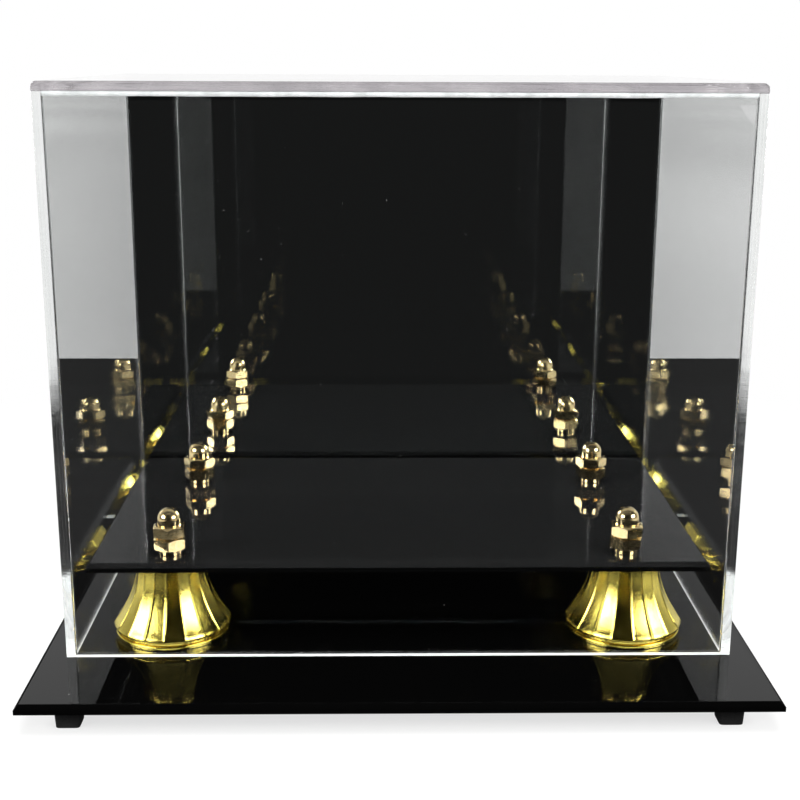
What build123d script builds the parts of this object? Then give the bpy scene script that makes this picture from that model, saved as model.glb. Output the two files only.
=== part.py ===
"""Tabletop display case for a small helmet: a clear cover with a mirrored back wall stands
on a black base, over a black deck that four fluted bell risers hold up.

Frame: millimetres, +Z up, origin on the floor under the middle of the base plate.
-Y is the front, where the base plate leaves a wide ledge, and +X is the viewer's right.
"""

import os
from math import cos, pi, radians, sin

from build123d import *

# Sheet stock and base plate
SHEET = 3.2
BASE_WIDTH = 254.0
BASE_DEPTH = 196.0
EDGE_BEVEL_IN = 1.5
EDGE_BEVEL_DOWN = 1.6
SIDE_MARGIN = 9.5
BACK_MARGIN = 9.5

# Feet
FOOT_HEIGHT = 8.0
FOOT_WIDTH = 9.0
FOOT_DRAFT = 3.0
FOOT_CORNER_R = 1.2
FOOT_EDGE_R = 0.4
FOOT_INSET_X = 16.0
FOOT_INSET_Y = 10.0

# Cover
COVER_HEIGHT = 198.0
COVER_DEPTH = 150.0
COVER_CORNER_R = 2.0

# Deck, which reaches back almost to the mirror, and the grid of its four posts
DECK_WIDTH = 224.5
DECK_FRONT_RIM = 11.5
DECK_BACK_GAP = 1.5
POST_SPACING_X = 167.0
POST_SPACING_Y = 84.0
FRONT_POST_BEHIND_COVER_FACE = 26.0
HOLE_R = 3.4

# Bell riser, by radius and by height above the base plate
RISER_HEIGHT = 26.4
FLUTES = 18
FLARE_SECTIONS = 5
RISER_RIM_R = 21.5
RISER_RIM_Z = 3.8
RISER_TOP_R = 12.1
RISER_MID_R = 15.8
RISER_MID_Z = 13.2
FLUTE_DEPTH_SHARE = 0.012
FOOT_RING_R = 20.8
FOOT_RING_EDGE_R = 0.5
FOOT_RING_HEIGHT = 1.7
NECK_R = 19.9
RISER_WALL = 2.4
RISER_ROOF = 5.0
RISER_BOSS_R = 6.0

# Screws, washers and nuts, quarter-inch size
SCREW_R = 3.15
SCREW_HEAD_R = 6.0
SCREW_HEAD_HEIGHT = 3.2
SCREW_HEAD_EDGE_R = 1.4
DRIVE_SLOT_WIDTH = 1.3
DRIVE_SLOT_DEPTH = 1.5
DRIVE_SLOT_LENGTH = 7.0
SCREW_IN_CAP = 7.4
WASHER_R = 7.6
WASHER_THICKNESS = 1.2
THREAD_HOLE_R = 3.25
COLLAR_R = 4.0
COLLAR_HEIGHT = 2.0
NUT_ACROSS_FLATS = 11.1
JAM_NUT_HEIGHT = 4.8
CAP_HEX_HEIGHT = 4.4
CAP_DOME_R = 4.25
CAP_STRAIGHT = 2.0
CAP_BORE_DEPTH = 8.6
NUT_CHAMFER_DROP = 0.75

# Heights above the floor, and places along Y, that follow from the sizes above
BASE_TOP = FOOT_HEIGHT + SHEET
DECK_BOTTOM = BASE_TOP + RISER_HEIGHT
DECK_TOP = DECK_BOTTOM + SHEET
COVER_WIDTH = BASE_WIDTH - 2 * SIDE_MARGIN
COVER_BACK = BASE_DEPTH / 2 - BACK_MARGIN
COVER_FRONT = COVER_BACK - COVER_DEPTH
WALL_HEIGHT = COVER_HEIGHT - SHEET
FRONT_POST_Y = COVER_FRONT + FRONT_POST_BEHIND_COVER_FACE
BACK_POST_Y = FRONT_POST_Y + POST_SPACING_Y
DECK_FRONT = FRONT_POST_Y - DECK_FRONT_RIM
DECK_BACK = COVER_BACK - SHEET - DECK_BACK_GAP

POSTS = {
    "front_left": (-POST_SPACING_X / 2, FRONT_POST_Y),
    "front_right": (POST_SPACING_X / 2, FRONT_POST_Y),
    "back_left": (-POST_SPACING_X / 2, BACK_POST_Y),
    "back_right": (POST_SPACING_X / 2, BACK_POST_Y),
}
# Where each nut happened to stop when it was tightened, in degrees from a corner at the front
CAP_NUT_TURN = {"front_left": 2, "front_right": -8, "back_left": 30, "back_right": 21}
JAM_NUT_TURN = {"front_left": 4, "front_right": -17, "back_left": 26, "back_right": 9}


def plate(width, front_y, back_y, bottom):
    """A bevelled black plate with a hole at each post."""
    body = Pos(0, front_y, bottom) * Box(
        width, back_y - front_y, SHEET, align=(Align.CENTER, Align.MIN, Align.MIN)
    )
    top_face = body.faces().sort_by(Axis.Z)[-1]
    body = chamfer(
        top_face.edges(), EDGE_BEVEL_DOWN, length2=EDGE_BEVEL_IN, reference=top_face
    )
    for x, y in POSTS.values():
        body -= Pos(x, y, bottom) * Cylinder(
            HOLE_R, SHEET, align=(Align.CENTER, Align.CENTER, Align.MIN)
        )
    return body


def ring(outer_r, inner_r, bottom, height):
    """A plain ring about the Z axis."""
    low = (Align.CENTER, Align.CENTER, Align.MIN)
    body = Pos(0, 0, bottom) * Cylinder(outer_r, height, align=low)
    return body - Pos(0, 0, bottom) * Cylinder(inner_r, height, align=low)


def foot():
    """A square rubber bumper, narrower at the floor, with rounded corners and lower edge."""
    outline = RectangleRounded(FOOT_WIDTH, FOOT_WIDTH, FOOT_CORNER_R)
    body = extrude(outline, amount=FOOT_HEIGHT, taper=FOOT_DRAFT)
    body = Pos(0, 0, FOOT_HEIGHT) * Rot(180, 0, 0) * body
    return fillet(body.faces().sort_by(Axis.Z)[0].edges(), FOOT_EDGE_R)


def fluted_section(radius, height):
    """One level of the bell: ribs at the full radius, with a shallow hollow between them."""
    step = 2 * pi / FLUTES
    hollow_r = radius * (cos(step / 2) - FLUTE_DEPTH_SHARE)
    arcs = []
    for index in range(FLUTES):
        start = (index - 0.5) * step
        low, middle, high = start, start + step / 2, start + step
        arcs.append(
            ThreePointArc(
                (radius * cos(low), radius * sin(low), height),
                (hollow_r * cos(middle), hollow_r * sin(middle), height),
                (radius * cos(high), radius * sin(high), height),
            )
        )
    return Face(Wire(arcs))


def flare_radius(height):
    """Radius of the bell's ribs: a curve from the rim, through the waist, to the top."""
    share = (height - RISER_RIM_Z) / (RISER_HEIGHT - RISER_RIM_Z)
    middle = (RISER_MID_Z - RISER_RIM_Z) / (RISER_HEIGHT - RISER_RIM_Z)
    straight = RISER_RIM_R + (RISER_TOP_R - RISER_RIM_R) * share
    straight_middle = RISER_RIM_R + (RISER_TOP_R - RISER_RIM_R) * middle
    bow = (straight_middle - RISER_MID_R) / (middle * (1 - middle))
    return straight - bow * share * (1 - share)


def riser():
    """A fluted bell, hollow below, with a boss for the screw and a ring that it stands on."""
    step = (RISER_HEIGHT - RISER_RIM_Z) / (FLARE_SECTIONS - 1)
    heights = [RISER_RIM_Z + step * index for index in range(FLARE_SECTIONS)]
    flare = loft([fluted_section(flare_radius(height), height) for height in heights])
    low = (Align.CENTER, Align.CENTER, Align.MIN)
    stand = Cylinder(FOOT_RING_R, FOOT_RING_HEIGHT, align=low)
    stand = fillet(stand.edges().sort_by(Axis.Z)[-1], FOOT_RING_EDGE_R)
    body = flare + Cylinder(NECK_R, RISER_RIM_Z, align=low) + stand
    hollow_height = RISER_HEIGHT - RISER_ROOF
    hollow = Cone(
        NECK_R - RISER_WALL,
        flare_radius(hollow_height) - 2 * RISER_WALL,
        hollow_height,
        align=low,
    )
    body -= hollow - Cylinder(RISER_BOSS_R, hollow_height, align=low)
    body -= Cylinder(HOLE_R, RISER_HEIGHT, align=low)
    return body


def hexagon_nut(height):
    """A hexagon prism whose corners are turned off at both ends, standing on z = 0."""
    flat_r = NUT_ACROSS_FLATS / 2
    corner_r = flat_r / cos(radians(30))
    low = (Align.CENTER, Align.CENTER, Align.MIN)
    prism = extrude(RegularPolygon(corner_r, 6, rotation=30), height)
    upper = height - NUT_CHAMFER_DROP
    turned = Cone(flat_r, corner_r, NUT_CHAMFER_DROP, align=low)
    turned += Pos(0, 0, NUT_CHAMFER_DROP) * Cylinder(
        corner_r, upper - NUT_CHAMFER_DROP, align=low
    )
    turned += Pos(0, 0, upper) * Cone(corner_r, flat_r, NUT_CHAMFER_DROP, align=low)
    return prism & turned


def jam_nut():
    low = (Align.CENTER, Align.CENTER, Align.MIN)
    body = hexagon_nut(JAM_NUT_HEIGHT)
    return body - Cylinder(THREAD_HOLE_R, JAM_NUT_HEIGHT, align=low)


def cap_nut():
    """An acorn nut: a hexagon, a short neck and a ball end, with a blind bore."""
    low = (Align.CENTER, Align.CENTER, Align.MIN)
    body = hexagon_nut(CAP_HEX_HEIGHT)
    body += Pos(0, 0, CAP_HEX_HEIGHT) * Cylinder(CAP_DOME_R, CAP_STRAIGHT, align=low)
    body += Pos(0, 0, CAP_HEX_HEIGHT + CAP_STRAIGHT) * Sphere(CAP_DOME_R)
    return body - Cylinder(THREAD_HOLE_R, CAP_BORE_DEPTH, align=low)


def screw():
    """A pan-head machine screw, standing on its head at z = 0, with a crossed drive slot."""
    low = (Align.CENTER, Align.CENTER, Align.MIN)
    head = Cylinder(SCREW_HEAD_R, SCREW_HEAD_HEIGHT, align=low)
    head = fillet(head.edges().sort_by(Axis.Z)[0], SCREW_HEAD_EDGE_R)
    for turn in (0, 90):
        head -= Rot(0, 0, turn) * Box(
            DRIVE_SLOT_LENGTH, DRIVE_SLOT_WIDTH, 2 * DRIVE_SLOT_DEPTH
        )
    stack = WASHER_THICKNESS + SHEET + RISER_HEIGHT + SHEET
    stack += COLLAR_HEIGHT + JAM_NUT_HEIGHT + SCREW_IN_CAP
    return head + Pos(0, 0, SCREW_HEAD_HEIGHT) * Cylinder(SCREW_R, stack, align=low)


def upright_wall(width, depth, middle_x, front_y):
    """A cover wall that stands on the base plate and stops under the cover's top."""
    return Pos(middle_x, front_y, BASE_TOP) * Box(
        width, depth, WALL_HEIGHT, align=(Align.CENTER, Align.MIN, Align.MIN)
    )


def cover_panels():
    """The cover: two full-depth sides, a front and a mirrored back between them, and a top."""
    side_x = (COVER_WIDTH - SHEET) / 2
    between = COVER_WIDTH - 2 * SHEET
    top = Pos(0, COVER_FRONT, BASE_TOP + WALL_HEIGHT) * Box(
        COVER_WIDTH, COVER_DEPTH, SHEET, align=(Align.CENTER, Align.MIN, Align.MIN)
    )
    long_top_edges = top.edges().filter_by(Axis.Y).group_by(Axis.Z)[-1]
    return {
        "cover_left_panel": upright_wall(SHEET, COVER_DEPTH, -side_x, COVER_FRONT),
        "cover_right_panel": upright_wall(SHEET, COVER_DEPTH, side_x, COVER_FRONT),
        "cover_front_panel": upright_wall(between, SHEET, 0, COVER_FRONT),
        "cover_mirror_panel": upright_wall(between, SHEET, 0, COVER_BACK - SHEET),
        "cover_top_panel": fillet(long_top_edges, COVER_CORNER_R),
    }


def post_pieces(corner, x, y):
    """Everything on one post, from the screw head under the base up to the cap nut."""
    head_bottom = FOOT_HEIGHT - WASHER_THICKNESS - SCREW_HEAD_HEIGHT
    jam_bottom = DECK_TOP + COLLAR_HEIGHT
    cap_bottom = jam_bottom + JAM_NUT_HEIGHT
    washer = ring(WASHER_R, HOLE_R, FOOT_HEIGHT - WASHER_THICKNESS, WASHER_THICKNESS)
    collar = ring(COLLAR_R, THREAD_HOLE_R, DECK_TOP, COLLAR_HEIGHT)
    return {
        f"screw_{corner}": Pos(x, y, head_bottom) * screw(),
        f"washer_{corner}": Pos(x, y, 0) * washer,
        f"riser_{corner}": Pos(x, y, BASE_TOP) * riser(),
        f"collar_{corner}": Pos(x, y, 0) * collar,
        f"jam_nut_{corner}": Pos(x, y, jam_bottom)
        * Rot(0, 0, JAM_NUT_TURN[corner])
        * jam_nut(),
        f"cap_nut_{corner}": Pos(x, y, cap_bottom)
        * Rot(0, 0, CAP_NUT_TURN[corner])
        * cap_nut(),
    }


def feet():
    across = BASE_WIDTH / 2 - FOOT_INSET_X
    along = BASE_DEPTH / 2 - FOOT_INSET_Y
    places = {
        "front_left": (-across, -along),
        "front_right": (across, -along),
        "back_left": (-across, along),
        "back_right": (across, along),
    }
    return {f"foot_{name}": Pos(x, y, 0) * foot() for name, (x, y) in places.items()}


def build():
    pieces = {
        "base_plate": plate(BASE_WIDTH, -BASE_DEPTH / 2, BASE_DEPTH / 2, FOOT_HEIGHT),
        "deck_plate": plate(DECK_WIDTH, DECK_FRONT, DECK_BACK, DECK_BOTTOM),
    }
    pieces.update(feet())
    for corner, (x, y) in POSTS.items():
        pieces.update(post_pieces(corner, x, y))
    pieces.update(cover_panels())
    return pieces


os.makedirs("parts", exist_ok=True)
for node, solid in build().items():
    solid.label = node
    export_step(solid, f"parts/{node}.step")
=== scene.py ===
"""Looks of a tabletop display case: a clear cover with a mirrored back over a black deck
on four fluted gold risers, all standing on a black base plate.

Lengths are in metres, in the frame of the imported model: +Z up, -Y towards the viewer.
"""

import math

import bmesh
import bpy
from mathutils import Euler, Matrix, Vector


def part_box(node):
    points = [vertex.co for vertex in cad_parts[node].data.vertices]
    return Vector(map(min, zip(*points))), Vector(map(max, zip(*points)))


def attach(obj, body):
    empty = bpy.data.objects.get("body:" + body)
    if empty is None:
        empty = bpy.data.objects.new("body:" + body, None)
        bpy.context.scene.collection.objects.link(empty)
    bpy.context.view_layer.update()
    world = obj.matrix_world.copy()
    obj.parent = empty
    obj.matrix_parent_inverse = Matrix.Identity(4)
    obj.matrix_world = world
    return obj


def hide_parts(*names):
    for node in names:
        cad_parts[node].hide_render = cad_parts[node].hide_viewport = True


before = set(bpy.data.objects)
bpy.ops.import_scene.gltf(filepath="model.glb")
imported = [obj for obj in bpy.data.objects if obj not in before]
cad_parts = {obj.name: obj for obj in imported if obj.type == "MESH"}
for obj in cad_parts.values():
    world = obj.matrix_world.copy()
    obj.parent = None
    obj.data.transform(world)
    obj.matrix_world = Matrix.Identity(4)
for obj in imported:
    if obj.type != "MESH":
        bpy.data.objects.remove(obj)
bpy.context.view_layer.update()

MM = 0.001
MERGE_DISTANCE = 0.001 * MM
CORNERS = ("front_left", "front_right", "back_left", "back_right")
COVER_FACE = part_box("cover_front_panel")[0]
COVER_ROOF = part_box("cover_top_panel")[1]
BASE_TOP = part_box("base_plate")[1].z

# Sheets of the cover
PANEL_GAP = 0.02 * MM
POLISHED_EDGE = 0.15 * MM
MIRROR_EDGE = 0.1 * MM
BACKING_EDGE = 0.02 * MM
COVER_CORNER = 2.0 * MM
SILVER_DEPTH = 0.12 * MM

# Camera: where it stands from the cover's front face and how it looks down on the case
CAMERA_AWAY = 0.4329
CAMERA_ABOVE_BASE = 0.2065
CAMERA_SIDE = -0.008
CAMERA_DOWN = 14.59
CAMERA_TURN = 1.03
CAMERA_ROLL = 0.23
CAMERA_LENS = 59.8


# ---------------------------------------------------------------- shader and mesh helpers


class Shade:
    """One material under construction: adds nodes and joins their sockets."""

    def __init__(self, name):
        self.material = bpy.data.materials.new(name)
        self.material.use_nodes = True
        self.tree = self.material.node_tree
        self.tree.nodes.clear()
        self.place = self.add("ShaderNodeTexCoord").outputs["Object"]

    def add(self, kind, inputs=None, **settings):
        node = self.tree.nodes.new(kind)
        for key, value in settings.items():
            setattr(node, key, value)
        for key, value in (inputs or {}).items():
            if isinstance(value, bpy.types.NodeSocket):
                self.tree.links.new(value, node.inputs[key])
            else:
                node.inputs[key].default_value = value
        return node

    def math(self, operation, *values):
        inputs = dict(enumerate(values))
        return self.add("ShaderNodeMath", inputs, operation=operation).outputs[0]

    def stretched(self, scale):
        """Object coordinates, stretched by a factor on each axis."""
        node = self.add("ShaderNodeMapping", {"Vector": self.place, "Scale": scale})
        return node.outputs["Vector"]

    def noise(self, scale, detail=2.0, stretch=None, roughness=0.5):
        inputs = {
            "Vector": stretch or self.place,
            "Scale": scale,
            "Detail": detail,
            "Roughness": roughness,
        }
        return self.add("ShaderNodeTexNoise", inputs).outputs["Fac"]

    def remap(self, value, low, high, to_low, to_high):
        """value, from low..high to to_low..to_high, clamped."""
        inputs = dict(enumerate((value, low, high, to_low, to_high)))
        return self.add("ShaderNodeMapRange", inputs).outputs["Result"]

    def tint(self, factor, first, second):
        node = self.add("ShaderNodeMix", data_type="RGBA")
        self.tree.links.new(factor, node.inputs["Factor"])
        node.inputs[6].default_value = (*first, 1)
        node.inputs[7].default_value = (*second, 1)
        return node.outputs[2]

    def specks(self, scale, size, share):
        """1 in tiny round specks of dust, 0 elsewhere; share is how many cells hold one."""
        cells = self.add("ShaderNodeTexVoronoi", {"Vector": self.place, "Scale": scale})
        picked = self.add("ShaderNodeSeparateColor", {"Color": cells.outputs["Color"]})
        near = self.math("LESS_THAN", cells.outputs["Distance"], size)
        return self.math("MULTIPLY", near, self.math("LESS_THAN", picked.outputs[0], share))

    def bump(self, height, distance, normal=None):
        inputs = {"Height": height, "Distance": distance, "Strength": 1.0}
        if normal is not None:
            inputs["Normal"] = normal
        return self.add("ShaderNodeBump", inputs).outputs["Normal"]

    def principled(self, **inputs):
        names = {name.replace("_", " "): value for name, value in inputs.items()}
        return self.add("ShaderNodeBsdfPrincipled", names).outputs[0]

    def mix(self, factor, first, second):
        node = self.add("ShaderNodeMixShader", {0: factor, 1: first, 2: second})
        return node.outputs[0]

    def finish(self, shader):
        output = self.add("ShaderNodeOutputMaterial")
        self.tree.links.new(shader, output.inputs["Surface"])
        return self.material


def mesh_object(name, build, materials, smooth_angle=None):
    """A new object at the origin whose mesh build() fills, with its finishes in order."""
    mesh = bpy.data.meshes.new(name)
    work = bmesh.new()
    build(work)
    bmesh.ops.recalc_face_normals(work, faces=work.faces)
    work.to_mesh(mesh)
    work.free()
    piece = bpy.data.objects.new(name, mesh)
    bpy.context.scene.collection.objects.link(piece)
    for material in materials:
        mesh.materials.append(material)
    if smooth_angle is not None:
        mesh.shade_smooth()
        mesh.set_sharp_from_angle(angle=math.radians(smooth_angle))
    return piece


def turned(work, profile, segments, centre=(0, 0, 0), radius_at=None):
    """Turns a profile of (radius, height) points about the Z axis, closing it at the axis."""
    centre = Vector(centre)
    rings = []
    for radius, height in profile:
        if radius == 0:
            rings.append([work.verts.new(centre + Vector((0, 0, height)))])
            continue
        ring = []
        for step in range(segments):
            angle = 2 * math.pi * step / segments
            reach = radius_at(radius, angle) if radius_at else radius
            spot = Vector((reach * math.cos(angle), reach * math.sin(angle), height))
            ring.append(work.verts.new(centre + spot))
        rings.append(ring)
    for lower, upper in zip(rings, rings[1:]):
        join_rings(work, lower, upper)


def join_rings(work, lower, upper):
    count = max(len(lower), len(upper))
    for step in range(count):
        after = (step + 1) % count
        corners = []
        for ring, order in ((lower, (step, after)), (upper, (after, step))):
            for index in order:
                corner = ring[index % len(ring)]
                if corner not in corners:
                    corners.append(corner)
        work.faces.new(corners)


def arc(centre_r, centre_z, radius, start, end, steps):
    """Points of an arc in the (radius, height) plane; angles in degrees."""
    points = []
    for step in range(steps + 1):
        angle = math.radians(start + (end - start) * step / steps)
        points.append(
            (centre_r + radius * math.cos(angle), centre_z + radius * math.sin(angle))
        )
    return points


# ---------------------------------------------------------------- finishes


def lamp_through(shade, shader):
    """Lets lamps and bounced light pass straight through a clear sheet."""
    path = shade.add("ShaderNodeLightPath").outputs
    passing = shade.math("MAXIMUM", path["Is Shadow Ray"], path["Is Diffuse Ray"])
    clear = shade.add("ShaderNodeBsdfTransparent", {"Color": (0.95, 0.96, 0.96, 1)})
    return shade.mix(passing, shader, clear.outputs[0])


def clear_acrylic():
    """The flat faces: clean polished sheet with a little dust on it."""
    shade = Shade("clear_acrylic_face")
    sheet = shade.principled(
        Base_Color=(0.985, 0.992, 0.99, 1), Roughness=0.0, IOR=1.49, Transmission_Weight=1.0
    )
    dust = shade.principled(Base_Color=(0.75, 0.75, 0.74, 1), Roughness=0.9)
    specks = shade.math("MULTIPLY", shade.specks(260.0, 0.03, 0.05), 0.6)
    return shade.finish(lamp_through(shade, shade.mix(specks, sheet, dust)))


def sawn_edge(name, shaded_tint, lit_tint):
    """The cut edges: polished, with fine cutter lines left across the sheet, and a tint of painted
    shade that darkens and lightens in patches along the edge.
    """
    shade = Shade(name)
    lines = shade.noise(1.0, 3.0, shade.stretched((60, 60, 2600)))
    patches_of_shade_and_polish = shade.noise(55.0, 2.0)
    depth = shade.math("MULTIPLY", lines, shade.remap(patches_of_shade_and_polish, 0.4, 0.65, 0.15, 1.0))
    sheet = shade.principled(
        # Painted shade: the tint darkens and lightens the clear edge in patches.
        Base_Color=shade.tint(shade.remap(patches_of_shade_and_polish, 0.35, 0.65, 0.0, 1.0), shaded_tint, lit_tint),
        Roughness=shade.remap(patches_of_shade_and_polish, 0.35, 0.7, 0.02, 0.14),
        IOR=1.49,
        Transmission_Weight=1.0,
        Normal=shade.bump(depth, 0.05 * MM),
    )
    return shade.finish(lamp_through(shade, sheet))


def ground_edge():
    """The sanded lower and hidden edges, which scatter light and look white."""
    shade = Shade("clear_acrylic_ground_edge")
    grain = shade.noise(2400.0, 3.0)
    streak = shade.noise(1.0, 2.0, shade.stretched((260, 260, 60)))
    white = shade.tint(shade.remap(streak, 0.35, 0.7, 0.0, 1.0), (0.93, 0.94, 0.94), (0.74, 0.76, 0.77))
    shader = shade.principled(
        Base_Color=white, Roughness=0.6, IOR=1.49, Normal=shade.bump(grain, 0.03 * MM)
    )
    return shade.finish(shader)


def weld_seam():
    """Set solvent cement: milky, with clearer patches where it flowed well."""
    shade = Shade("weld_seam")
    flow = shade.remap(shade.noise(160.0, 3.0), 0.4, 0.7, 0.0, 0.35)
    milky = shade.principled(Base_Color=(0.97, 0.98, 0.98, 1), Roughness=0.35)
    clear = shade.principled(
        Base_Color=(0.98, 0.99, 0.99, 1), Roughness=0.12, IOR=1.49, Transmission_Weight=1.0
    )
    return shade.finish(shade.mix(flow, milky, clear))


def silver_layer():
    shade = Shade("mirror_silver")
    cloud = shade.noise(14.0, 2.0)
    return shade.finish(
        shade.principled(
            Base_Color=(0.90, 0.915, 0.91, 1),
            Metallic=1.0,
            Roughness=shade.remap(cloud, 0.4, 0.8, 0.0, 0.012),
        )
    )


def mirror_back_paint():
    """Grey protective paint on the mirror's back, rolled on with a fine stipple."""
    shade = Shade("mirror_back_paint")
    stipple = shade.noise(900.0, 2.0)
    cloud = shade.noise(18.0, 3.0)
    grey = shade.tint(shade.remap(cloud, 0.3, 0.7, 0.0, 1.0), (0.16, 0.17, 0.18), (0.20, 0.21, 0.22))
    scuffs = shade.remap(shade.noise(1.0, 4.0, shade.stretched((400, 400, 30))), 0.6, 0.75, 0.0, 0.2)
    return shade.finish(
        shade.principled(
            Base_Color=grey,
            Roughness=shade.math("ADD", scuffs, 0.42),
            Normal=shade.bump(stipple, 0.03 * MM),
        )
    )


def black_acrylic(name, top_sheen_level):
    """Black cast sheet: high gloss, eased edges, hairlines, a painted sheen that lightens the upward
    faces, and some dust specks.
    """
    shade = Shade(name)
    eased = shade.add("ShaderNodeBevel", {"Radius": 0.25 * MM}, samples=4).outputs[0]
    hairlines = shade.remap(
        shade.noise(1.0, 2.0, shade.stretched((35, 1500, 35))), 0.68, 0.74, 0.0, 1.0
    )
    haze = shade.remap(shade.noise(22.0, 3.0), 0.35, 0.75, 0.012, 0.035)
    roughness = shade.math("ADD", haze, shade.math("MULTIPLY", hairlines, 0.05))
    normal = shade.add("ShaderNodeNewGeometry").outputs["Normal"]
    upward = shade.add("ShaderNodeSeparateXYZ", {"Vector": normal}).outputs["Z"]
    # Painted sheen: upward faces get a lighter base colour that stands in for reflected light on the
    # top.
    painted_top_sheen = shade.remap(upward, 0.5, 0.9, 0.0, 1.0)
    sheet = shade.principled(
        Base_Color=shade.tint(painted_top_sheen, (0.001, 0.001, 0.001), (top_sheen_level, top_sheen_level, top_sheen_level)),
        Roughness=roughness,
        IOR=1.49,
        Normal=shade.bump(hairlines, 0.002 * MM, normal=eased),
    )
    dust = shade.principled(Base_Color=(0.35, 0.35, 0.34, 1), Roughness=0.9)
    specks = shade.specks(190.0, 0.035, 0.06)
    return shade.finish(shade.mix(shade.math("MULTIPLY", specks, 0.7), sheet, dust))


def gold_plastic():
    """Vacuum-metallised plastic: bright yellow gold with fine pits that sparkle."""
    shade = Shade("gold_plastic")
    pits = shade.noise(2100.0, 2.0, roughness=0.7)
    sink = shade.noise(330.0, 1.0)
    pitted = shade.bump(pits, 0.07 * MM)
    tone = shade.tint(shade.noise(120.0, 2.0), (0.90, 0.73, 0.13), (0.84, 0.70, 0.17))
    return shade.finish(
        shade.principled(
            Base_Color=tone,
            Metallic=1.0,
            Roughness=shade.remap(shade.noise(420.0, 3.0), 0.3, 0.75, 0.05, 0.12),
            Normal=shade.bump(sink, 0.008 * MM, normal=pitted),
        )
    )


def plated_brass():
    """Tumbled and plated brass: warm, slightly mottled, with small dents."""
    shade = Shade("plated_brass")
    mottle = shade.noise(750.0, 3.0)
    dents = shade.noise(1100.0, 1.0)
    tone = shade.tint(shade.remap(mottle, 0.35, 0.65, 0.0, 1.0), (0.72, 0.55, 0.27), (0.82, 0.66, 0.36))
    return shade.finish(
        shade.principled(
            Base_Color=tone,
            Metallic=1.0,
            Roughness=shade.remap(mottle, 0.3, 0.7, 0.09, 0.15),
            Normal=shade.bump(dents, 0.002 * MM),
        )
    )


def zinc_steel():
    shade = Shade("zinc_steel")
    turned_marks = shade.noise(1300.0, 3.0)
    tone = shade.tint(shade.noise(300.0, 2.0), (0.50, 0.51, 0.52), (0.63, 0.63, 0.60))
    return shade.finish(
        shade.principled(
            Base_Color=tone,
            Metallic=1.0,
            Roughness=shade.remap(turned_marks, 0.3, 0.7, 0.22, 0.4),
            Normal=shade.bump(turned_marks, 0.008 * MM),
        )
    )


def black_rubber():
    shade = Shade("black_rubber")
    grain = shade.noise(1500.0, 3.0)
    bloom = shade.noise(190.0, 3.0)
    faded = shade.remap(bloom, 0.4, 0.8, 0.0, 1.0)
    tone = shade.tint(faded, (0.005, 0.005, 0.005), (0.014, 0.014, 0.014))
    return shade.finish(
        shade.principled(
            Base_Color=tone,
            Roughness=shade.remap(grain, 0.3, 0.7, 0.5, 0.75),
            Normal=shade.bump(grain, 0.02 * MM),
        )
    )


FACE = clear_acrylic()
EDGE = sawn_edge("clear_acrylic_edge", (0.90, 0.92, 0.91), (0.98, 0.99, 0.985))
# The top edge's grey-violet tint is painted shade on a clear edge.
TOP_EDGE = sawn_edge("clear_acrylic_top_edge", (0.40, 0.38, 0.40), (0.62, 0.59, 0.61))
WELD = weld_seam()
GROUND = ground_edge()
SILVER = silver_layer()
BACK_PAINT = mirror_back_paint()
# The second number sets how light the painted sheen on the upward faces is.
BASE_BLACK = black_acrylic("black_acrylic_base", 0.001)
DECK_BLACK = black_acrylic("black_acrylic_deck", 0.009)
GOLD = gold_plastic()
BRASS = plated_brass()
STEEL = zinc_steel()
RUBBER = black_rubber()


# ---------------------------------------------------------------- the clear cover


def eased_box(work, low, high, gap, edge_width, rounded=None):
    """A box with small eased edges; rounded picks edges that get the cover's corner radius."""
    size = high - low - Vector((2 * gap,) * 3)
    middle = (low + high) / 2
    shape = Matrix.Translation(middle) @ Matrix.Diagonal((*size, 1))
    bmesh.ops.create_cube(work, size=1.0, matrix=shape)
    if rounded is not None:
        picked = [edge for edge in work.edges if rounded(edge)]
        bmesh.ops.bevel(
            work, geom=picked, offset=COVER_CORNER, segments=8, profile=0.5, affect="EDGES"
        )
    sharp = [edge for edge in work.edges if edge.calc_face_angle() > math.radians(50)]
    bmesh.ops.bevel(
        work, geom=sharp, offset=edge_width, segments=2, profile=0.5, affect="EDGES"
    )


def finish_by_side(piece, thin_axis, ground_sides):
    """Flat faces get slot 0, cut edges slot 1, and sanded sides slot 2."""
    for face in piece.data.polygons:
        normal = face.normal
        if abs(normal[thin_axis]) > 0.9:
            face.material_index = 0
            face.use_smooth = False
        elif any(normal.dot(side) > 0.7 for side in ground_sides):
            face.material_index = 2
        else:
            face.material_index = 1


def clear_panel(node, thin_axis, ground_sides, edge, rounded=None):
    low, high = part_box(node)
    piece = mesh_object(
        node + "_sheet",
        lambda work: eased_box(work, low, high, PANEL_GAP, POLISHED_EDGE, rounded),
        [FACE, edge, GROUND],
        smooth_angle=35,
    )
    finish_by_side(piece, thin_axis, ground_sides)
    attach(piece, "cover")
    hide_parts(node)


def long_top_edge(edge):
    """True for the two upper edges of the top sheet that run from front to back."""
    ends = [vertex.co for vertex in edge.verts]
    along = abs(ends[0].y - ends[1].y) > 0.05
    return along and min(end.z for end in ends) > COVER_ROOF.z - 1 * MM


def make_mirror():
    """The back wall: a clear sheet with a silver layer and grey paint behind it."""
    low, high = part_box("cover_mirror_panel")
    split = Vector((high.x, high.y - SILVER_DEPTH, high.z))
    sheet = mesh_object(
        "cover_mirror_sheet",
        lambda work: eased_box(work, low, split, PANEL_GAP, MIRROR_EDGE),
        [FACE, EDGE, GROUND],
        smooth_angle=35,
    )
    finish_by_side(sheet, 1, [Vector((0, 0, -1))])
    backing_low = Vector((low.x, split.y, low.z))
    backing = mesh_object(
        "cover_mirror_backing",
        lambda work: eased_box(work, backing_low, high, PANEL_GAP, BACKING_EDGE),
        [SILVER, BACK_PAINT],
    )
    for face in backing.data.polygons:
        face.material_index = 0 if face.normal.y < -0.9 else 1
    for piece in (sheet, backing):
        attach(piece, "cover")
        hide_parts("cover_mirror_panel")


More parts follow.
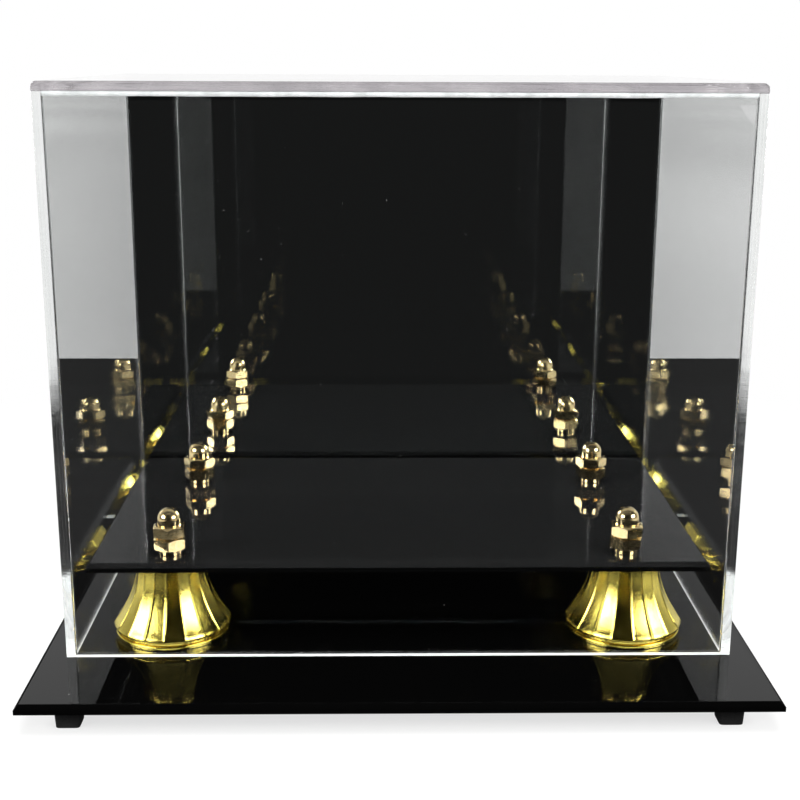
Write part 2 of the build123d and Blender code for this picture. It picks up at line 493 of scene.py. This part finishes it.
def bead_group():
    """Geometry Nodes: a quarter-round bead along the incoming line; its radius wanders."""
    tree = bpy.data.node_groups.new("weld_bead", "GeometryNodeTree")
    face = tree.interface
    face.new_socket("Geometry", in_out="INPUT", socket_type="NodeSocketGeometry")
    sockets = {}
    for name, kind in (
        ("Radius", "NodeSocketFloat"),
        ("Wander", "NodeSocketFloat"),
        ("Step", "NodeSocketFloat"),
        ("Seed", "NodeSocketFloat"),
        ("Finish", "NodeSocketMaterial"),
    ):
        sockets[name] = face.new_socket(name, in_out="INPUT", socket_type=kind).identifier
    face.new_socket("Geometry", in_out="OUTPUT", socket_type="NodeSocketGeometry")
    nodes, links = tree.nodes, tree.links
    given = nodes.new("NodeGroupInput").outputs
    curve = nodes.new("GeometryNodeMeshToCurve")
    links.new(given["Geometry"], curve.inputs["Mesh"])
    even = nodes.new("GeometryNodeResampleCurve")
    even.mode = "LENGTH"
    links.new(curve.outputs["Curve"], even.inputs["Curve"])
    links.new(given["Step"], even.inputs["Length"])
    noise = nodes.new("ShaderNodeTexNoise")
    noise.noise_dimensions = "4D"
    noise.inputs["Scale"].default_value = 45.0
    links.new(given["Seed"], noise.inputs["W"])
    wander = nodes.new("ShaderNodeMath")
    wander.operation = "MULTIPLY_ADD"
    links.new(noise.outputs["Fac"], wander.inputs[0])
    links.new(given["Wander"], wander.inputs[1])
    wander.inputs[2].default_value = 1.0
    wide = nodes.new("GeometryNodeSetCurveRadius")
    links.new(even.outputs["Curve"], wide.inputs["Curve"])
    links.new(wander.outputs[0], wide.inputs["Radius"])
    slice_ = nodes.new("GeometryNodeCurveArc")
    slice_.inputs["Resolution"].default_value = 7
    slice_.inputs["Sweep Angle"].default_value = math.pi / 2
    slice_.inputs["Connect Center"].default_value = True
    links.new(given["Radius"], slice_.inputs["Radius"])
    swept = nodes.new("GeometryNodeCurveToMesh")
    swept.inputs["Fill Caps"].default_value = True
    links.new(wide.outputs["Curve"], swept.inputs["Curve"])
    links.new(slice_.outputs["Curve"], swept.inputs["Profile Curve"])
    if "Scale" in swept.inputs:
        reach = nodes.new("GeometryNodeInputRadius")
        links.new(reach.outputs[0], swept.inputs["Scale"])
    real = nodes.new("GeometryNodeRealizeInstances")
    links.new(swept.outputs["Mesh"], real.inputs["Geometry"])
    painted = nodes.new("GeometryNodeSetMaterial")
    links.new(real.outputs["Geometry"], painted.inputs["Geometry"])
    links.new(given["Finish"], painted.inputs["Material"])
    links.new(painted.outputs["Geometry"], nodes.new("NodeGroupOutput").inputs[0])
    return tree, sockets


WELD_RADIUS = 1.3 * MM
SIDE_SEAM_SHARE = 0.45
WELD_WANDER = 0.5
WELD_STEP = 2.5 * MM


def make_weld_seams():
    """Beads of cement in the inner corners where the walls meet the top sheet."""
    tree, sockets = bead_group()
    inner_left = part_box("cover_left_panel")[1].x
    inner_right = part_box("cover_right_panel")[0].x
    inner_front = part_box("cover_front_panel")[1].y
    inner_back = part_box("cover_mirror_panel")[0].y
    under_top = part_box("cover_top_panel")[0].z
    right, back = Vector((1, 0, 0)), Vector((0, 1, 0))
    width = inner_right - inner_left
    depth = inner_back - inner_front
    seams = (
        ("front_top", (inner_left, inner_front), right, back, width, 1.0),
        ("left_top", (inner_left, inner_back), -back, right, depth, SIDE_SEAM_SHARE),
        ("right_top", (inner_right, inner_front), back, -right, depth, SIDE_SEAM_SHARE),
    )
    for seed, (name, start, along, first, length, share) in enumerate(seams):

        def line(work):
            ends = [work.verts.new((0, 0, 0)), work.verts.new((length, 0, 0))]
            work.edges.new(ends)

        piece = mesh_object(f"weld_{name}", line, [WELD])
        values = {"Radius": WELD_RADIUS * share, "Wander": WELD_WANDER, "Step": WELD_STEP}
        values.update({"Seed": float(seed), "Finish": WELD})
        run_nodes(piece, tree, {sockets[key]: value for key, value in values.items()})
        second = along.cross(first)
        frame_of_seam = Matrix((along, first, second)).transposed().to_4x4()
        place = Matrix.Translation(Vector((*start, under_top)))
        piece.data.transform(place @ frame_of_seam)
        piece.data.shade_smooth()
        piece.data.set_sharp_from_angle(angle=math.radians(50))
        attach(piece, "cover")
        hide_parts("cover_top_panel")


def make_cover():
    down = [Vector((0, 0, -1))]
    clear_panel("cover_left_panel", 0, down, EDGE)
    clear_panel("cover_right_panel", 0, down, EDGE)
    clear_panel("cover_front_panel", 1, down, EDGE)
    clear_panel("cover_top_panel", 2, [], TOP_EDGE, rounded=long_top_edge)
    make_mirror()
    make_weld_seams()


# ---------------------------------------------------------------- risers, nuts and feet

FLUTES = 18
FLUTE_HOLLOW = 0.004
RIB_RAISE = 0.009
RIB_HALF_SHARE = 0.08
FLUTE_FLATNESS = 0.4
RIM_R = 21.45 * MM
RIM_Z = 4.1 * MM
WAIST_R = 15.8 * MM
WAIST_Z = 13.2 * MM
TOP_R = 12.1 * MM
RING_R = 20.75 * MM
NECK_R = 19.85 * MM
RING_INSIDE_R = 17.6 * MM
RING_LOWER_EDGE = 0.25 * MM
RING_SHOULDER_Z = 1.15 * MM
RING_ROUNDING = 0.5 * MM
NECK_FOOT_Z = 1.8 * MM
NECK_HEAD_Z = 2.9 * MM
RIM_ROUNDING = 0.9 * MM
RIM_MIDDLE_Z = 3.75 * MM
HOLLOW_MOUTH_Z = 3.0 * MM
FLARE_STEPS = 22
BELL_WALL = 2.4 * MM
BELL_ROOF = 5.0 * MM
HOLE_R = 3.4 * MM


def bell_profile(height):
    """(radius, height, share of flute depth) up the outside, then down the hollow inside."""
    points = [(RING_INSIDE_R, 0.0, 0.0), (RING_R - RING_LOWER_EDGE, 0.0, 0.0)]
    points += [(RING_R, RING_LOWER_EDGE, 0.0), (RING_R, RING_SHOULDER_Z, 0.0)]
    for reach, rise in arc(RING_R - RING_ROUNDING, RING_SHOULDER_Z, RING_ROUNDING, 15, 90, 5):
        points.append((reach, rise, 0.0))
    points += [(NECK_R, NECK_FOOT_Z, 0.0), (NECK_R, NECK_HEAD_Z, 0.0)]
    for reach, rise in arc(RIM_R - RIM_ROUNDING, RIM_MIDDLE_Z, RIM_ROUNDING, -80, 0, 5):
        points.append((reach, rise, 0.4))
    bow_share = (WAIST_Z - RIM_Z) / (height - RIM_Z)
    straight = RIM_R + (TOP_R - RIM_R) * bow_share
    bow = (straight - WAIST_R) / (bow_share * (1 - bow_share))
    for step in range(FLARE_STEPS + 1):
        share = step / FLARE_STEPS
        radius = RIM_R + (TOP_R - RIM_R) * share - bow * share * (1 - share)
        points.append((radius, RIM_Z + (height - RIM_Z) * share, min(1.0, 0.6 + share * 5)))
    roof = height - BELL_ROOF
    points += [(HOLE_R, height, 0.0), (HOLE_R, roof, 0.0), (TOP_R - BELL_WALL, roof, 0.0)]
    points += [(WAIST_R - BELL_WALL, WAIST_Z, 0.0), (RING_INSIDE_R, HOLLOW_MOUTH_Z, 0.0), points[0]]
    return points


def flute_sector(work, height):
    """One flute of the bell, from the middle of one rib to the next."""
    across = (0.0, 0.02, 0.045, 0.08, 0.16, 0.28, 0.39, 0.5, 0.61, 0.72, 0.84, 0.92, 0.955, 0.98, 1.0)
    sweep = 2 * math.pi / FLUTES
    columns = []
    for share in across:
        angle = (share - 0.5) * sweep
        chord = 1 + FLUTE_FLATNESS * (math.cos(sweep / 2) / math.cos(angle) - 1)
        hollow = 1 - (2 * share - 1) ** 2
        crest = max(0.0, 1 - min(share, 1 - share) / RIB_HALF_SHARE)
        sunk = FLUTE_HOLLOW * hollow + RIB_RAISE * (1 - crest * crest * (3 - 2 * crest))
        column = []
        for radius, level, depth in bell_profile(height):
            reach = radius * (1 + depth * (chord - 1 - sunk))
            column.append(
                work.verts.new((reach * math.cos(angle), reach * math.sin(angle), level))
            )
        columns.append(column)
    for left, right in zip(columns, columns[1:]):
        for index in range(len(left) - 1):
            work.faces.new((left[index], right[index], right[index + 1], left[index + 1]))


def around_axis_group():
    """Geometry Nodes: repeats the incoming piece around Z and welds the copies together."""
    tree = bpy.data.node_groups.new("repeat_around_axis", "GeometryNodeTree")
    face = tree.interface
    face.new_socket("Geometry", in_out="INPUT", socket_type="NodeSocketGeometry")
    count = face.new_socket("Count", in_out="INPUT", socket_type="NodeSocketInt")
    weld = face.new_socket("Weld Distance", in_out="INPUT", socket_type="NodeSocketFloat")
    finish = face.new_socket("Finish", in_out="INPUT", socket_type="NodeSocketMaterial")
    face.new_socket("Geometry", in_out="OUTPUT", socket_type="NodeSocketGeometry")
    nodes, links = tree.nodes, tree.links
    given = nodes.new("NodeGroupInput").outputs
    line = nodes.new("GeometryNodeMeshLine")
    line.inputs["Offset"].default_value = (0, 0, 0)
    links.new(given["Count"], line.inputs["Count"])
    index = nodes.new("GeometryNodeInputIndex").outputs[0]
    step = nodes.new("ShaderNodeMath")
    step.operation = "DIVIDE"
    step.inputs[0].default_value = 2 * math.pi
    links.new(given["Count"], step.inputs[1])
    angle = nodes.new("ShaderNodeMath")
    angle.operation = "MULTIPLY"
    links.new(index, angle.inputs[0])
    links.new(step.outputs[0], angle.inputs[1])
    turn = nodes.new("ShaderNodeCombineXYZ")
    links.new(angle.outputs[0], turn.inputs["Z"])
    copies = nodes.new("GeometryNodeInstanceOnPoints")
    links.new(line.outputs["Mesh"], copies.inputs["Points"])
    links.new(given["Geometry"], copies.inputs["Instance"])
    links.new(turn.outputs[0], copies.inputs["Rotation"])
    real = nodes.new("GeometryNodeRealizeInstances")
    links.new(copies.outputs["Instances"], real.inputs["Geometry"])
    merged = nodes.new("GeometryNodeMergeByDistance")
    links.new(real.outputs["Geometry"], merged.inputs["Geometry"])
    links.new(given["Weld Distance"], merged.inputs["Distance"])
    painted = nodes.new("GeometryNodeSetMaterial")
    links.new(merged.outputs["Geometry"], painted.inputs["Geometry"])
    links.new(given["Finish"], painted.inputs["Material"])
    links.new(painted.outputs["Geometry"], nodes.new("NodeGroupOutput").inputs[0])
    return tree, {"count": count.identifier, "weld": weld.identifier, "finish": finish.identifier}


def run_nodes(piece, tree, values):
    """Applies a Geometry Nodes tree to a piece and leaves a plain mesh."""
    modifier = piece.modifiers.new("nodes", "NODES")
    modifier.node_group = tree
    for identifier, value in values.items():
        modifier[identifier] = value
    depsgraph = bpy.context.evaluated_depsgraph_get()
    mesh = bpy.data.meshes.new_from_object(piece.evaluated_get(depsgraph))
    piece.modifiers.remove(modifier)
    piece.data = mesh


def hex_reach(flat_r, angle):
    """Distance from a hexagon's middle to its side, in the direction angle."""
    sixth = math.pi / 3
    return flat_r / math.cos((angle % sixth) - sixth / 2)


def nut_body(work, flat_r, height, chamfer, centre, turn, cap):
    """A hexagon nut with turned-off corners, open above or with a neck and ball end."""
    slope = math.tan(math.radians(NUT_CHAMFER_ANGLE))
    angles = [2 * math.pi * step / NUT_SEGMENTS for step in range(NUT_SEGMENTS)]

    def corner(reach, angle, level):
        facing = angle + turn
        spot = Vector((reach * math.cos(facing), reach * math.sin(facing), level))
        return work.verts.new(centre + spot)

    def hexagon(top):
        """The ring where the flat sides end, which dips where the turning cut the corners."""
        ring = []
        for angle in angles:
            reach = hex_reach(flat_r, angle)
            cut = (reach - (flat_r - chamfer)) * slope
            ring.append(corner(reach, angle, height - cut if top else cut))
        return ring

    def circle(radius, level):
        return [corner(radius, angle, level) for angle in angles]

    inner = circle(HOLE_R, 0.0)
    rings = [inner, circle(flat_r - chamfer, 0.0), hexagon(False), hexagon(True)]
    rings.append(circle(flat_r - chamfer, height))
    if cap:
        neck_r, straight = cap
        rings.append(circle(neck_r + NECK_FLARE, height))
        rings.append(circle(neck_r, height + NECK_FLARE_RISE))
        for reach, rise in arc(0.0, height + straight, neck_r, 0, 88, 18):
            rings.append(circle(reach, rise))
        rings.append([work.verts.new(centre + Vector((0, 0, height + straight + neck_r)))])
    else:
        rings.append(circle(HOLE_R, height))
    for lower, upper in zip(rings, rings[1:]):
        join_rings(work, lower, upper)
    if cap:
        work.faces.new(list(reversed(inner)))
    else:
        join_rings(work, rings[-1], inner)


def base_piece(piece, node):
    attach(piece, "base")
    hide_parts(node)


def middle_of(node):
    """The point under the middle of a node."""
    low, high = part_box(node)
    return Vector(((low.x + high.x) / 2, (low.y + high.y) / 2, low.z))


def make_risers():
    tree, sockets = around_axis_group()
    for corner in CORNERS:
        node = "riser_" + corner
        low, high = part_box(node)
        piece = mesh_object(
            node + "_bell", lambda work: flute_sector(work, high.z - low.z), [GOLD]
        )
        values = {"count": FLUTES, "weld": MERGE_DISTANCE, "finish": GOLD}
        run_nodes(piece, tree, {sockets[key]: value for key, value in values.items()})
        piece.data.transform(Matrix.Translation(middle_of(node)))
        piece.data.shade_smooth()
        piece.data.set_sharp_from_angle(angle=math.radians(40))
        base_piece(piece, node)


NUT_FLAT_R = 5.55 * MM
NUT_CHAMFER = 0.45 * MM
NUT_CHAMFER_ANGLE = 30
NUT_SEGMENTS = 96
NECK_FLARE = 0.15 * MM
NECK_FLARE_RISE = 0.2 * MM
CAP_HEX = 4.4 * MM
CAP_NECK = (4.25 * MM, 2.0 * MM)
NUT_TURNS = {
    "cap_nut": {"front_left": 2, "front_right": -8, "back_left": 30, "back_right": 21},
    "jam_nut": {"front_left": 4, "front_right": -17, "back_left": 26, "back_right": 9},
}


def make_nuts():
    for kind, turns in NUT_TURNS.items():
        for corner, turn in turns.items():
            node = f"{kind}_{corner}"
            low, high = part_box(node)
            capped = kind == "cap_nut"
            height = CAP_HEX if capped else high.z - low.z
            piece = mesh_object(
                node + "_body",
                lambda work: nut_body(
                    work,
                    NUT_FLAT_R,
                    height,
                    NUT_CHAMFER,
                    middle_of(node),
                    math.radians(turn + 30),
                    CAP_NECK if capped else None,
                ),
                [BRASS],
                smooth_angle=25,
            )
            base_piece(piece, node)


COLLAR_LOWER_EDGE = 0.2 * MM
COLLAR_UPPER_EDGE = 0.3 * MM


def make_collars():
    for corner in CORNERS:
        node = "collar_" + corner
        low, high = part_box(node)
        radius, height = (high.x - low.x) / 2, high.z - low.z
        profile = [(HOLE_R, 0.0), (radius - COLLAR_LOWER_EDGE, 0.0), (radius, COLLAR_LOWER_EDGE)]
        profile += [(radius, height - COLLAR_UPPER_EDGE), (radius - COLLAR_UPPER_EDGE, height)]
        profile += [(HOLE_R, height), (HOLE_R, 0.0)]
        piece = mesh_object(
            node + "_ring",
            lambda work: (
                turned(work, profile, 64, middle_of(node)),
                bmesh.ops.remove_doubles(work, verts=work.verts, dist=MERGE_DISTANCE),
            ),
            [BRASS],
            smooth_angle=35,
        )
        base_piece(piece, node)


FOOT_DRAW_IN = 0.42 * MM
FOOT_ROUNDING = 0.4 * MM
FOOT_SQUARENESS = 8
FOOT_TOP_EDGE = 0.2 * MM


def squared(half, angle):
    """Distance from the middle to the side of a square with rounded corners."""
    across = abs(math.cos(angle)) ** FOOT_SQUARENESS
    along = abs(math.sin(angle)) ** FOOT_SQUARENESS
    return half / (across + along) ** (1 / FOOT_SQUARENESS)


def make_feet():
    for corner in CORNERS:
        node = "foot_" + corner
        low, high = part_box(node)
        half, height = (high.x - low.x) / 2, high.z - low.z
        inner = half - FOOT_DRAW_IN - FOOT_ROUNDING
        profile = [(0, 0.0), (inner, 0.0)]
        profile += arc(inner, FOOT_ROUNDING, FOOT_ROUNDING, -80, 0, 6)
        profile += [(half - 0.03 * MM, height - 0.3 * MM), (half - FOOT_TOP_EDGE, height)]
        profile.append((0, height))
        piece = mesh_object(
            node + "_bumper",
            lambda work: turned(work, profile, 96, middle_of(node), squared),
            [RUBBER],
            smooth_angle=35,
        )
        base_piece(piece, node)


def paint_kept_nodes():
    """CAD nodes whose shape is final keep it and get their finish here."""
    finishes = {"base_plate": BASE_BLACK, "deck_plate": DECK_BLACK}
    for corner in CORNERS:
        finishes["screw_" + corner] = STEEL
        finishes["washer_" + corner] = STEEL
    for node, finish in finishes.items():
        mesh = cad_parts[node].data
        mesh.materials.clear()
        mesh.materials.append(finish)


# ---------------------------------------------------------------- stage, light and camera


# Bench top on the floor: start and end along Y, half width at Y = 0, and how fast it widens
BENCH_BEHIND = (0.0, 0.465, 0.17, 0.3)
BENCH_AHEAD = (-9.0, 0.06, 0.25, -0.24)
BENCH_LEVEL_BEHIND = 0.030
BENCH_LEVEL_AHEAD = 0.010
FLOOR_RADIUS = 6.0
FLOOR_SHADOW_REACH = (0.13, 0.42)
ROOM_DIM = 0.005
ROOM_LIGHT = 0.6
SOFTBOX_AWAY = 1.2
SOFTBOX_UP = 24
SOFTBOX_SIZE = (0.7, 0.45)
SOFTBOX_POWER = 15.0
OVERHEAD_SIZE = (0.8, 0.8)
OVERHEAD_POWER = 16.0


def floor_finish():
    """Pale floor; a dark bench top shows behind the clear walls and in the mirror."""
    shade = Shade("pale_floor")
    path = shade.add("ShaderNodeLightPath").outputs
    across = shade.add("ShaderNodeSeparateXYZ", {"Vector": shade.place}).outputs
    pale = shade.add("ShaderNodeBsdfDiffuse", {"Color": (0.82, 0.82, 0.81, 1)}).outputs[0]
    glow = shade.add("ShaderNodeEmission", {"Color": (1, 1, 1, 1), "Strength": 1.0}).outputs[0]
    reach = shade.add("ShaderNodeVectorMath", {0: shade.place}, operation="LENGTH").outputs["Value"]
    seen = shade.mix(shade.remap(reach, *FLOOR_SHADOW_REACH, 0.7, 1.0), pale, glow)
    cloud = shade.remap(shade.noise(0.7, 0.0), 0.35, 0.65, 0.92, 1.08)
    light = shade.add("ShaderNodeEmission", {"Color": (1, 1, 1, 1), "Strength": cloud}).outputs[0]
    sideways = shade.math("ABSOLUTE", across["X"])
    mirrored = shade.math("GREATER_THAN", path["Glossy Depth"], 0.5)
    behind = bench_part(shade, across["Y"], sideways, *BENCH_BEHIND)
    ahead = bench_part(shade, across["Y"], sideways, *BENCH_AHEAD)
    bench = shade.math("MAXIMUM", behind, shade.math("MULTIPLY", ahead, mirrored))
    drop = BENCH_LEVEL_AHEAD - BENCH_LEVEL_BEHIND
    level = shade.math("MULTIPLY_ADD", ahead, drop, BENCH_LEVEL_BEHIND)
    dark = shade.add("ShaderNodeEmission", {"Color": (1, 1, 1, 1), "Strength": level}).outputs[0]
    indirect = shade.mix(bench, light, dark)
    return shade.finish(shade.mix(path["Is Camera Ray"], indirect, seen))


def bench_part(shade, along, sideways, start, end, half_width, widening):
    """1 where start < Y < end and |X| is under half_width + widening * Y."""
    after = shade.math("GREATER_THAN", along, start)
    before = shade.math("LESS_THAN", along, end)
    limit = shade.math("MULTIPLY_ADD", along, widening, half_width)
    within = shade.math("LESS_THAN", sideways, limit)
    return shade.math("MULTIPLY", within, shade.math("MULTIPLY", after, before))


def make_floor():
    def disc(work):
        bmesh.ops.create_circle(work, cap_ends=True, radius=FLOOR_RADIUS, segments=96)

    floor = mesh_object("floor", disc, [floor_finish()])


def make_world():
    """White to the camera; a light room behind the case and a dim one in front of it."""
    world = bpy.data.worlds.new("studio")
    bpy.context.scene.world = world
    world.use_nodes = True
    tree = world.node_tree
    tree.nodes.clear()
    way = tree.nodes.new("ShaderNodeTexCoord").outputs["Generated"]
    split = tree.nodes.new("ShaderNodeSeparateXYZ")
    tree.links.new(way, split.inputs[0])
    facing = tree.nodes.new("ShaderNodeMapRange")
    facing.interpolation_type = "SMOOTHSTEP"
    for index, value in ((1, -0.15), (2, 0.45), (3, ROOM_DIM), (4, ROOM_LIGHT)):
        facing.inputs[index].default_value = value
    tree.links.new(split.outputs["Y"], facing.inputs[0])
    low_sky = tree.nodes.new("ShaderNodeMapRange")
    for index, value in ((1, 0.1), (2, 0.25), (3, 1.0), (4, 0.0)):
        low_sky.inputs[index].default_value = value
    tree.links.new(split.outputs["Z"], low_sky.inputs[0])
    behind = tree.nodes.new("ShaderNodeMath")
    behind.operation = "GREATER_THAN"
    behind.inputs[1].default_value = 0.3
    tree.links.new(split.outputs["Y"], behind.inputs[0])
    glow = tree.nodes.new("ShaderNodeMath")
    glow.operation = "MULTIPLY"
    tree.links.new(low_sky.outputs["Result"], glow.inputs[0])
    tree.links.new(behind.outputs[0], glow.inputs[1])
    level = tree.nodes.new("ShaderNodeMath")
    level.operation = "MAXIMUM"
    tree.links.new(glow.outputs[0], level.inputs[0])
    tree.links.new(facing.outputs["Result"], level.inputs[1])
    room = tree.nodes.new("ShaderNodeBackground")
    tree.links.new(level.outputs[0], room.inputs["Color"])
    backdrop = tree.nodes.new("ShaderNodeBackground")
    backdrop.inputs["Color"].default_value = (1, 1, 1, 1)
    path = tree.nodes.new("ShaderNodeLightPath")
    blend = tree.nodes.new("ShaderNodeMixShader")
    tree.links.new(path.outputs["Is Camera Ray"], blend.inputs[0])
    tree.links.new(room.outputs[0], blend.inputs[1])
    tree.links.new(backdrop.outputs[0], blend.inputs[2])
    output = tree.nodes.new("ShaderNodeOutputWorld")
    tree.links.new(blend.outputs[0], output.inputs["Surface"])


def make_softbox(name, azimuth, elevation, size, power, mirrored=True):
    """An area lamp aimed at the case; azimuth is seen from above, 0 in front, 90 to the right."""
    target = Vector((0, COVER_FACE.y, BASE_TOP + 60 * MM))
    turn, rise = math.radians(azimuth), math.radians(elevation)
    away = Vector((math.sin(turn) * math.cos(rise), -math.cos(turn) * math.cos(rise), math.sin(rise)))
    data = bpy.data.lights.new(name, "AREA")
    data.shape = "RECTANGLE"
    data.size, data.size_y = size
    data.energy = power
    lamp = bpy.data.objects.new(name, data)
    lamp.matrix_world = Matrix.LocRotScale(
        target + away * SOFTBOX_AWAY, away.to_track_quat("Z", "Y"), None
    )
    lamp.visible_glossy = mirrored
    lamp.visible_transmission = mirrored
    bpy.context.scene.collection.objects.link(lamp)


def make_camera():
    data = bpy.data.cameras.new("camera")
    data.lens = CAMERA_LENS
    data.clip_start = 0.01
    camera = bpy.data.objects.new("camera", data)
    down, turn = math.radians(CAMERA_DOWN), math.radians(CAMERA_TURN)
    aim = Euler((math.pi / 2 - down, 0, -turn), "XYZ").to_matrix()
    aim = aim @ Matrix.Rotation(math.radians(CAMERA_ROLL), 3, "Z")
    place = Vector((CAMERA_SIDE, COVER_FACE.y - CAMERA_AWAY, BASE_TOP + CAMERA_ABOVE_BASE))
    camera.matrix_world = Matrix.Translation(place) @ aim.to_4x4()
    bpy.context.scene.collection.objects.link(camera)
    bpy.context.scene.camera = camera


make_cover()
make_risers()
make_nuts()
make_collars()
make_feet()
paint_kept_nodes()
make_floor()
make_world()
make_softbox("softbox_left", -62, SOFTBOX_UP, SOFTBOX_SIZE, SOFTBOX_POWER)
make_softbox("softbox_right", 60, SOFTBOX_UP, SOFTBOX_SIZE, SOFTBOX_POWER)
make_softbox("softbox_above", 0, 86, OVERHEAD_SIZE, OVERHEAD_POWER, mirrored=False)
make_camera()
bpy.context.scene.view_settings.view_transform = "Standard"
bpy.context.scene.cycles.glossy_bounces = 14
bpy.context.scene.cycles.transmission_bounces = 16
bpy.context.scene.cycles.max_bounces = 20
